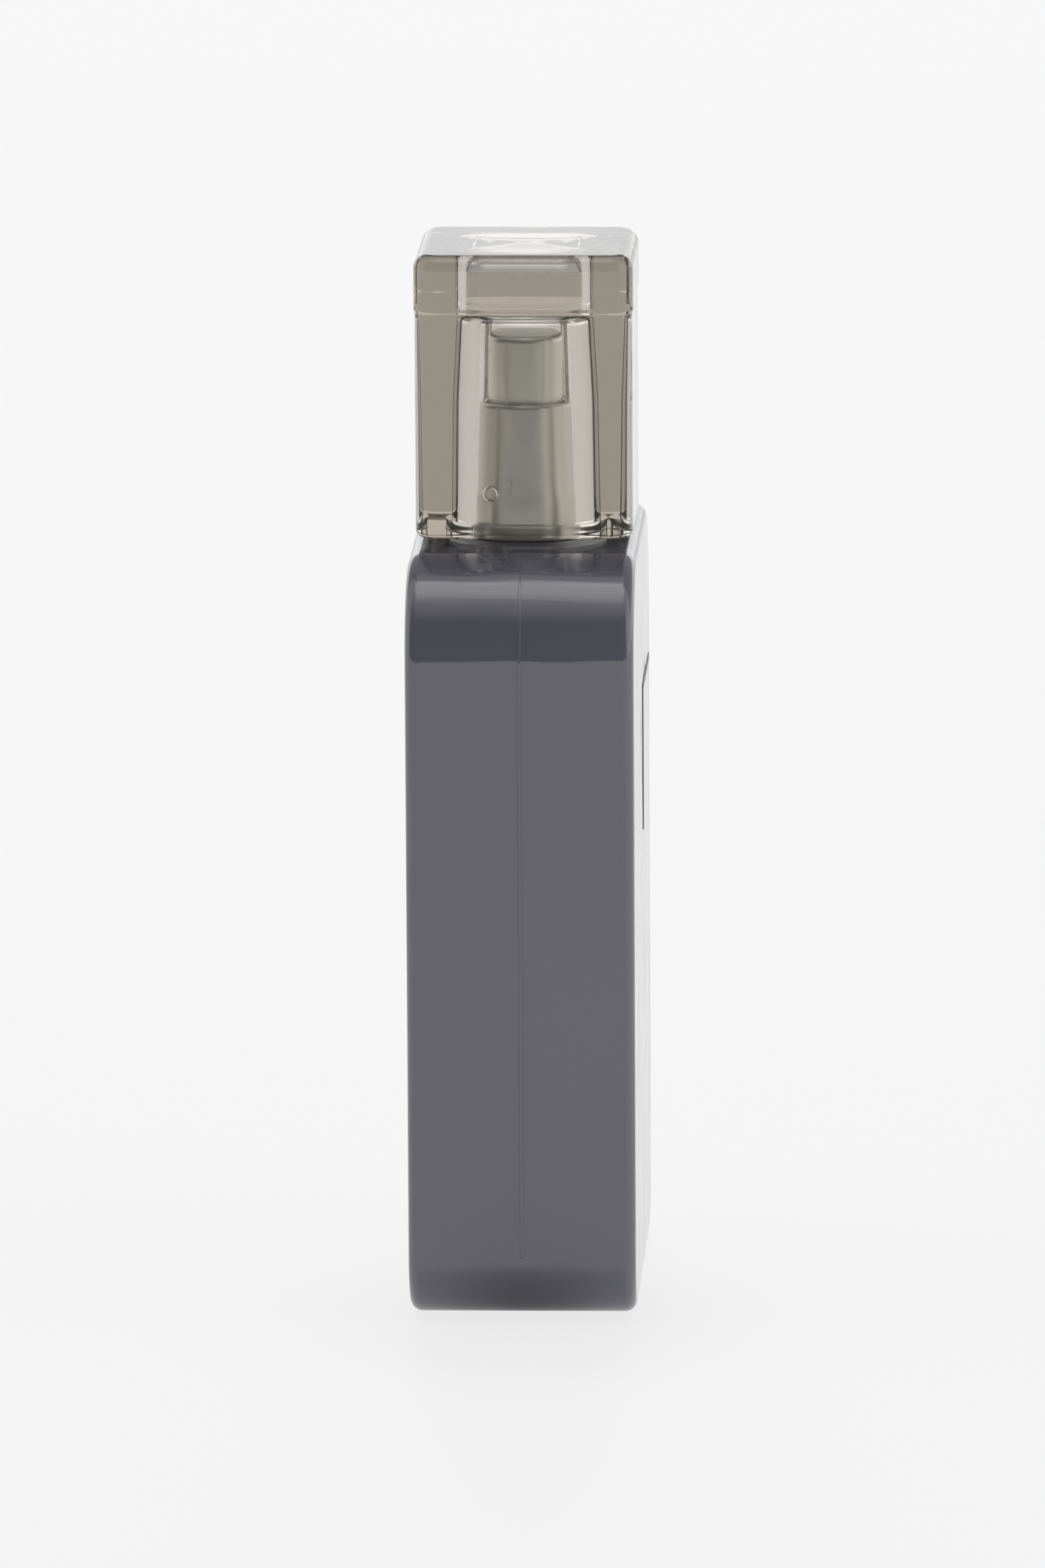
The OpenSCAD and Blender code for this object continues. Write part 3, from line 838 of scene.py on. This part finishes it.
# %% [markdown]
# ## The cap
#
# The cap is a clear block, so every face bends light and its shape has to be exact. It is one closed skin
# lofted through rings: round ones down the hollow to the mouth, then rounded squares round the foot, up
# the sides, over the fine step below the solid top block and in to the middle of the top. All rings have
# the same number of points at nearly the same bearings, which keeps the quads even and the flats truly
# flat.
#
# The cap is moulded round a smaller core with a bevelled top. The core is a block of its own in a pocket
# that a boolean cuts, and the thin gap of air between them is what makes its outline show through the
# plastic. A second boolean cuts the fine ring, with sloped sides that bend the light, that the mould
# leaves on one side.

# %% Piece: cap
CAP_HALF = (cap_high.x - cap_low.x) / 2
CAP_STEP = 0.12 * MM
CAP_EDGE = 3.0 * MM
CAP_FOOT_ROUND, CAP_TOP_ROUND = 0.7 * MM, 1.8 * MM
STEP_HEIGHT = 0.6 * MM
CAP_CEILING = cap_high.z - 7.7 * MM
CEILING_RADIUS, CEILING_ROUND = 8.55 * MM, 1.6 * MM
GRIP_TOP_RADIUS, GRIP_RADIUS, GRIP_HEIGHT = 9.21 * MM, 9.26 * MM, 2.9 * MM
HOLLOW_RADIUS_AT_COLLAR = 9.05 * MM
MOUTH_RADIUS, MOUTH_CHAMFER = 9.95 * MM, 0.12 * MM
MOUTH_TOP = cap_low.z + 1.3 * MM
CORE_GAP = 0.05 * MM
CORE_CORNER = 3.9 * MM
CORE_BEVEL_WIDTH, CORE_BEVEL_HEIGHT = 1.9 * MM, 1.3 * MM
SIDE_STEPS, CORNER_STEPS = 30, 12


def square_ring(half, corner, z):
    """A rounded square seen from above, with its points spread evenly by bearing along each side."""
    points = []
    reach = math.atan2(half - corner, half)
    for turn in range(4):
        quarter = Matrix.Rotation(turn * math.pi / 2, 2)
        local = [(half, half * math.tan(-reach + 2 * reach * i / SIDE_STEPS)) for i in range(SIDE_STEPS)]
        local += arc(half - corner, half - corner, corner, 0, 90, CORNER_STEPS)[:-1]
        points += [(*(quarter @ Vector(p)), z) for p in local]
    return points


def round_ring(radius, z):
    bearings = [math.atan2(p[1], p[0]) for p in square_ring(CAP_HALF, CAP_EDGE, 0)]
    return [(radius * math.cos(a), radius * math.sin(a), z) for a in bearings]


def hollow_outline():
    """The cap's hollow from its ceiling down to the mouth, as (radius, height) points."""
    outline = arc(CEILING_RADIUS - CEILING_ROUND, CAP_CEILING - CEILING_ROUND, CEILING_ROUND, 90, 0, 8)
    outline += [(HOLLOW_RADIUS_AT_COLLAR, collar_high.z), (GRIP_TOP_RADIUS, MOUTH_TOP + GRIP_HEIGHT)]
    outline += [(GRIP_RADIUS, MOUTH_TOP), (MOUTH_RADIUS, MOUTH_TOP)]
    outline += [(MOUTH_RADIUS, cap_low.z + MOUTH_CHAMFER), (MOUTH_RADIUS + MOUTH_CHAMFER, cap_low.z)]
    return outline


def cap_rings():
    lower = CAP_HALF - CAP_STEP
    step_z = CAP_CEILING + STEP_HEIGHT / 2
    rings = [round_ring(radius, z) for radius, z in hollow_outline()]
    for x, z in arc(0, cap_low.z + CAP_FOOT_ROUND, CAP_FOOT_ROUND, -90, 0, 6):
        inward = x - CAP_FOOT_ROUND
        rings.append(square_ring(lower + inward, CAP_EDGE + inward, z))
    for i in range(7):
        swing = i / 6
        out = CAP_STEP * swing ** 2 * (3 - 2 * swing)
        rings.append(square_ring(lower + out, CAP_EDGE, step_z + STEP_HEIGHT * swing))
    for x, z in arc(0, cap_high.z - CAP_TOP_ROUND, CAP_TOP_ROUND, 0, 90, 8):
        inward = x - CAP_TOP_ROUND
        rings.append(square_ring(CAP_HALF + inward, CAP_EDGE + inward, z))
    return rings


def mould_mark():
    """A cutter for the small ring, with a V-shaped groove, that the mould leaves low on one side."""
    inner, outer, depth = 0.66 * MM, 1.0 * MM, 0.15 * MM
    outline = [(inner, -2 * depth), (outer, -2 * depth), (outer, 0), ((inner + outer) / 2, depth), (inner, 0)]
    mesh = turned("mould_mark", outline, 32)
    place = Vector((cap_low.x + CAP_STEP, 4 * MM, cap_low.z + 5.7 * MM))
    mesh.transform(Matrix.Translation(place) @ Matrix.Rotation(math.pi / 2, 4, "Y"))
    return new_piece("mould_mark", mesh)


def core_block(name, gap):
    """The block inside the cap's top, or with a gap of nothing the pocket that it sits in."""
    half, corner = core_high.x + CORE_GAP - gap, CORE_CORNER - gap
    low, high = core_low.z - CORE_GAP + gap, core_high.z + CORE_GAP - gap
    rings = [square_ring(half, corner, low), square_ring(half, corner, high - CORE_BEVEL_HEIGHT)]
    rings.append(square_ring(half - CORE_BEVEL_WIDTH, corner - CORE_BEVEL_WIDTH, high))
    return new_piece(name, loft(name, rings))


def build_cap():
    cap = new_piece("block_cap", loft("block_cap", cap_rings()))
    combine(cap, mould_mark(), "DIFFERENCE")
    combine(cap, core_block("pocket", 0), "DIFFERENCE")
    return finish_piece(settle(cap), "cap")


build_cap()
finish_piece(settle(core_block("core_block", CORE_GAP)), "cap_core")

# %% [markdown]
# ## Collar and spray head
#
# Both are thin aluminium shells spun over a former, so a turned outline with small arcs at its edges is
# how they are made in the metal too. The shell of the spray head has a round window for the nozzle, cut
# by a boolean.

# %% Pieces: collar, spray head, insert
PUMP_SEGMENTS = 144


def build_collar():
    top, flange = collar_high.z, collar_high.x
    bore_radius, grip, waist, tip = 8.0 * MM, 9.13 * MM, 8.8 * MM, 8.4 * MM
    flange_top, waist_height = MOUTH_TOP - 0.05 * MM, 4.2 * MM
    foot_chamfer, flange_round, rim = 0.1 * MM, 0.15 * MM, 0.575 * MM
    lip_depth, bore_depth = 1.4 * MM, 2.2 * MM
    outline = [(bore_radius, SHOULDER), (flange - foot_chamfer, SHOULDER), (flange, SHOULDER + foot_chamfer)]
    outline += arc(flange - flange_round, flange_top - flange_round, flange_round, 0, 90, 3)
    outline += [(grip, flange_top), (grip, flange_top + GRIP_HEIGHT), (waist, flange_top + waist_height)]
    outline += arc(tip - rim, top - rim, rim, 0, 180, 12)
    outline += [(tip - 2 * rim, top - lip_depth), (bore_radius, top - bore_depth)]
    collar = new_piece("collar", turned("collar", outline, PUMP_SEGMENTS))
    return finish_piece(settle(collar), "collar_sleeve")


def round_rings(outline, steps):
    """One ring of points about the pump's axis for each (radius, height) point."""
    bearings = [2 * math.pi * i / steps for i in range(steps)]
    return [[(r * math.cos(a), r * math.sin(a), z) for a in bearings] for r, z in outline]


def build_head():
    radius, wall = head_high.x, 0.5 * MM
    outer_round, inner_round, foot_chamfer = 0.8 * MM, 0.4 * MM, 0.1 * MM
    window_radius, past = 2.0 * MM, 1 * MM
    low, high = head_low.z, head_high.z
    outline = arc(radius - wall - inner_round, high - wall - inner_round, inner_round, 90, 0, 5)
    outline += [(radius - wall, low), (radius - foot_chamfer, low), (radius, low + foot_chamfer)]
    outline += arc(radius - outer_round, high - outer_round, outer_round, 0, 90, 8)
    head = new_piece("spray_head_shell", loft("spray_head_shell", round_rings(outline, PUMP_SEGMENTS)))
    window = nozzle_cylinder("window", window_radius, 0.5 * radius, radius + past)
    combine(head, window, "DIFFERENCE")
    return finish_piece(settle(head), "actuator_shell")


def lay_to_nozzle(mesh):
    """Turns a mesh made about the Z axis so that it lies along -Y at the nozzle's height."""
    middle = (insert_low.z + insert_high.z) / 2
    mesh.transform(Matrix.Translation((0, 0, middle)) @ Matrix.Rotation(math.pi / 2, 4, "X"))
    return mesh


def nozzle_cylinder(name, radius, near, far, steps=48):
    rings = round_rings([(radius, near), (radius, far)], steps)
    return new_piece(name, lay_to_nozzle(loft(name, rings)))


def build_insert():
    back, front = -insert_high.y, -insert_low.y
    radius = (insert_high.x - insert_low.x) / 2
    hole, edge = 0.2 * MM, 0.12 * MM
    rim, dish_mouth, dish_floor, dish_depth = 0.9 * MM, 0.5 * MM, 0.75 * MM, 0.4 * MM
    outline = [(hole, back), (radius - edge, back), (radius, back + edge), (radius, front - edge)]
    outline += [(radius - edge, front), (rim, front), (dish_mouth, front)]
    outline += [(dish_floor, front - dish_depth), (hole, front - dish_depth)]
    mesh = lay_to_nozzle(turned("nozzle_insert", outline, 48))
    return finish_piece(settle(new_piece("nozzle_insert", mesh)), "spray_insert")


build_collar()
build_head()
build_insert()

# %% [markdown]
# ## Return spring
#
# A spring is a circle swept along a helix whose ends are wound flat. In Geometry Nodes a straight line of
# points is bent by a rule: the bearing grows evenly with the point's number, and the height grows only
# between the closed ends. The wire's size, the coil's radius and the number of turns are inputs.

# %% Piece: return spring
def spring_tree():
    t = Tree("wound spring", floats=("Coil radius", "Wire", "Low", "High", "Turns", "Dead share"),
             integers=("Steps",))
    given = t.given
    line = t.add("GeometryNodeCurvePrimitiveLine", {"Start": (0.0, 0.0, 0.0), "End": (0.0, 0.0, 1.0)})
    points = t.add("GeometryNodeResampleCurve", {"Curve": line.outputs[0], "Count": given["Steps"]})
    share = t.add("GeometryNodeSplineParameter").outputs["Factor"]
    angle = t.calc("MULTIPLY", share, t.calc("MULTIPLY", given["Turns"], 2 * math.pi))
    rise = t.add("ShaderNodeMapRange", {
        "Value": share, "From Min": given["Dead share"],
        "From Max": t.calc("SUBTRACT", 1.0, given["Dead share"]),
        "To Min": t.calc("ADD", given["Low"], given["Wire"]),
        "To Max": t.calc("SUBTRACT", given["High"], given["Wire"]),
    })
    ease = t.calc("MULTIPLY", given["Wire"], 0.5)
    start = t.add("ShaderNodeMapRange", {
        "Value": share, "From Min": 0.0, "From Max": given["Dead share"],
        "To Min": t.calc("MULTIPLY", ease, -1.0), "To Max": 0.0,
    })
    finish = t.add("ShaderNodeMapRange", {
        "Value": share, "From Min": t.calc("SUBTRACT", 1.0, given["Dead share"]), "From Max": 1.0,
        "To Min": 0.0, "To Max": ease,
    })
    height = t.calc("ADD", rise.outputs[0], t.calc("ADD", start.outputs[0], finish.outputs[0]))
    bent = t.add("GeometryNodeSetPosition", {
        "Geometry": points.outputs[0],
        "Position": t.vector(
            t.calc("MULTIPLY", given["Coil radius"], t.calc("COSINE", angle)),
            t.calc("MULTIPLY", given["Coil radius"], t.calc("SINE", angle)), height,
        ),
    })
    radius = t.calc("MULTIPLY", given["Wire"], 0.5)
    wire = t.add("GeometryNodeCurvePrimitiveCircle", {"Resolution": 12, "Radius": radius})
    swept = t.add("GeometryNodeCurveToMesh", {
        "Curve": bent.outputs[0], "Profile Curve": wire.outputs[0], "Fill Caps": True,
    })
    return t.end(swept.outputs[0])


def build_spring():
    turns = 7.0
    spring = grow("coil_spring", spring_tree(), {
        "Coil radius": 2.6 * MM, "Wire": 0.45 * MM, "Low": spring_low.z, "High": spring_high.z,
        "Turns": turns, "Dead share": 0.9 / turns, "Steps": 330, "Finish": FINISHES["spring_steel"],
    })
    return finish_piece(settle(spring, 60.0), "return_spring")


build_spring()

# %% [markdown]
# ## Print and label
#
# The front carries two thin ruled lines that meet in a corner, screen-printed in dark ink less than a
# tenth of a millimetre thick. The base has a blank film label in its recess. Neither has any lettering.

# %% Pieces: print and label
def build_print():
    stroke = 0.8 * MM
    low, high = print_low, print_high
    outline = [(low.x, low.z), (low.x + stroke, low.z), (low.x + stroke, high.z - stroke),
               (high.x, high.z - stroke), (high.x, high.z), (low.x, high.z)]
    work = bmesh.new()
    verts = [work.verts.new((x, high.y, z)) for x, z in outline]
    face = work.faces.new(verts)
    out = bmesh.ops.extrude_face_region(work, geom=[face])
    for item in out["geom"]:
        if isinstance(item, bmesh.types.BMVert):
            item.co.y = low.y
    upright = [edge for edge in work.edges if all(abs(v.co.y - low.y) < 1e-7 for v in edge.verts)]
    bmesh.ops.bevel(work, geom=upright, offset=0.03 * MM, segments=2, affect="EDGES", profile=0.5)
    mesh = bpy.data.meshes.new("ruled_corner")
    work.to_mesh(mesh)
    work.free()
    clean(mesh)
    return finish_piece(settle(new_piece("ruled_corner", mesh), 60.0), "front_print")


def build_label():
    low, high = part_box("base_label")
    label = rounded_plate("film_label", high.x - low.x, high.y - low.y, low.z, high.z, 1.5 * MM)
    return finish_piece(settle(label), "base_label")


build_print()
build_label()

# %% [markdown]
# ## The other parts
#
# The pump's inner parts, the ferrule, the tube, the ball and the liquid are already the right shape in
# the CAD model, so they keep their meshes and only get their finish.

# %% Finishes for the CAD nodes
for node, piece in frame["nodes"].items():
    if node not in REPLACED:
        piece.data.materials.clear()
        piece.data.materials.append(FINISHES[NODE_SLOT[node]])
        print(f"{node}: {NODE_SLOT[node]}")
